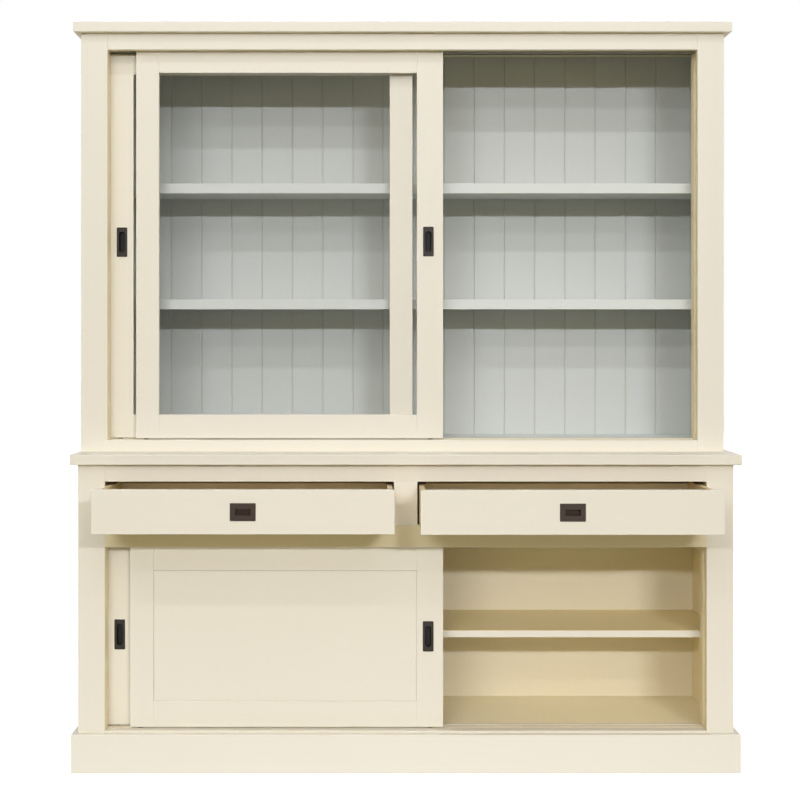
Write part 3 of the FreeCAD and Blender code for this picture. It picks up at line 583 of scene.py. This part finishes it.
def screw_head():
    """A domed head with a cross recess, looking forward, its seat at the origin."""
    bpy.ops.mesh.primitive_cylinder_add(vertices=screw_sides, radius=screw_radius,
                                        depth=screw_rise, rotation=(math.pi / 2, 0.0, 0.0),
                                        location=(0.0, -screw_rise / 2, 0.0))
    head = bpy.context.object
    bpy.ops.object.transform_apply(location=True, rotation=True, scale=True)
    choose_faces(head.data, faces_forward)
    bpy.ops.object.mode_set(mode="EDIT")
    bpy.ops.mesh.bevel(offset=screw_rise * screw_dome, segments=dome_steps, affect="EDGES")
    bpy.ops.object.mode_set(mode="OBJECT")
    cutter = recess_cutter()
    cutter.location.y = -screw_rise
    recess = head.modifiers.new("recess", "BOOLEAN")
    recess.operation = "DIFFERENCE"
    recess.object = cutter
    bpy.ops.object.select_all(action="DESELECT")
    head.select_set(True)
    bpy.context.view_layer.objects.active = head
    bpy.context.view_layer.update()
    bpy.ops.object.modifier_apply(modifier="recess")
    bpy.data.objects.remove(cutter)
    bpy.ops.object.shade_smooth_by_angle(angle=math.radians(smooth_below))
    head.data.materials.append(bronze)
    return head


def driven_home(model, name, place, turn, body):
    """A copy of the screw at its own place, turned as the driver left it."""
    bpy.ops.object.select_all(action="DESELECT")
    model.select_set(True)
    bpy.context.view_layer.objects.active = model
    bpy.ops.object.duplicate(linked=False)
    screw = bpy.context.object
    screw.name = name
    screw.location = place
    screw.rotation_euler = (0.0, math.radians(turn), 0.0)
    bpy.ops.object.transform_apply(location=True, rotation=True, scale=True)
    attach(screw, body)


# Places of the screws from the middle of their pull: across and up
cup_screws = ((-0.026, -0.0173), (-0.026, 0.0173), (0.026, -0.0173), (0.026, 0.0173))
flush_screws = ((0.0, -0.0395), (0.0, 0.0395))
pattern_screw = screw_head()
turn = first_turn
for body, places in (("left_drawer", cup_screws), ("right_drawer", cup_screws),
                     ("hutch_front_door", flush_screws), ("hutch_rear_door", flush_screws),
                     ("base_front_door", flush_screws), ("base_rear_door", flush_screws)):
    low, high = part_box(body + "_pull")
    for number, (across, up) in enumerate(places):
        driven_home(pattern_screw, f"{body}_pull_screw_{number + 1}",
                    ((low.x + high.x) / 2 + across, low.y, (low.z + high.z) / 2 + up),
                    turn, body)
        turn += turn_step
bpy.data.objects.remove(pattern_screw)


# --------------------------------------------------------------- lamps, camera, surroundings
# The windows and the overhead tube point at the dresser's foot, the other two tubes over
# its top, so that those two light the hutch more than the base. A window is turned towards
# the base's middle; a tube, which is longer than it is far, stays parallel to the face.
for name, right, distance, height, length, drop, watts, spread, aim in lamps:
    bpy.ops.object.light_add(type="AREA", location=(base_middle + right,
                                                    face_plane - distance, height))
    lamp = bpy.context.object
    lamp.name = name
    lamp.data.shape = "RECTANGLE"
    lamp.data.size = length
    lamp.data.size_y = drop
    lamp.data.energy = watts
    lamp.data.color = lamp_colour
    lamp.data.spread = math.radians(spread)
    lamp.visible_glossy = name != unreflected_lamp
    target = Vector((base_middle if length < distance else lamp.location.x, face_plane, aim))
    lamp.rotation_euler = (target - lamp.location).to_track_quat("-Z", "Y").to_euler()

bpy.ops.object.camera_add(location=(base_middle - camera_left, face_plane - camera_distance,
                                    camera_height), rotation=(math.pi / 2, 0.0, 0.0))
camera = bpy.context.object
camera.data.lens = lens
camera.data.shift_x = frame_shift_x
camera.data.shift_y = frame_shift_y
camera.data.clip_end = camera_sight
bpy.context.scene.camera = camera


def lit_floor(name):
    """A pale floor that sends light up only near the dresser, most of it at its foot."""
    floor = Finish(name, Roughness=0.9, Specular_IOR_Level=0.0, Emission_Strength=1.0)
    seen = 0.0
    for ray in floor.seeing_rays:
        seen = floor.is_ray(ray).largest(seen)
    depth = floor.node("ShaderNodeSeparateXYZ", {}, {"Vector": floor.place}, "Y")
    near = floor.ramped(depth, -floor_glow_reach - floor_glow_fade,
                        -floor_glow_reach + floor_glow_fade)
    nearest = floor.ramped(depth, -foot_glow_reach - foot_glow_fade,
                           -foot_glow_reach + foot_glow_fade)
    glow = floor.mix(near, black, (*floor_glow, 1.0))
    glow = floor.mix(nearest, glow, (*foot_glow, 1.0))
    floor.set(Base_Color=floor.mix(seen, black, grey(floor_white)),
              Emission_Color=floor.mix(seen, glow, grey(floor_brightness)))
    return floor.material


def glow_from(recipe, direction, tint):
    """Light from one side of the room, fading to none at right angles to it."""
    looking = recipe.node("ShaderNodeTexCoord", {}, {}, "Generated")
    strength = recipe.along(looking, direction).largest(0.0)
    return recipe.node("ShaderNodeBackground", {}, {"Color": (*tint, 1.0),
                                                    "Strength": strength})


def lit_room(name):
    """A world that lights from the front, the back and the ceiling, and is seen as white."""
    room = bpy.data.worlds.new(name)
    room.use_nodes = True
    recipe = Recipe(room.node_tree)
    light = glow_from(recipe, (0.0, -1.0, 0.0), room_glow)
    for direction, tint in (((0.0, 1.0, 0.0), rear_glow), ((0.0, 0.0, 1.0), ceiling_glow)):
        light = recipe.node("ShaderNodeAddShader", {},
                            {0: light, 1: glow_from(recipe, direction, tint)})
    plain = recipe.node("ShaderNodeBackground", {}, {"Color": white, "Strength": 1.0})
    shown = light
    for ray in recipe.seeing_rays:
        shown = recipe.node("ShaderNodeMixShader", {},
                            {0: recipe.is_ray(ray), 1: shown, 2: plain})
    recipe.feed(room.node_tree.nodes["World Output"].inputs["Surface"], shown)
    return room


bpy.ops.mesh.primitive_plane_add(size=floor_size, location=(0.0, 0.0, 0.0))
ground = bpy.context.object
ground.name = "ground"
ground.data.materials.append(lit_floor("pale ground"))
bpy.context.scene.world = lit_room("studio")
bpy.context.scene.view_settings.view_transform = "Standard"
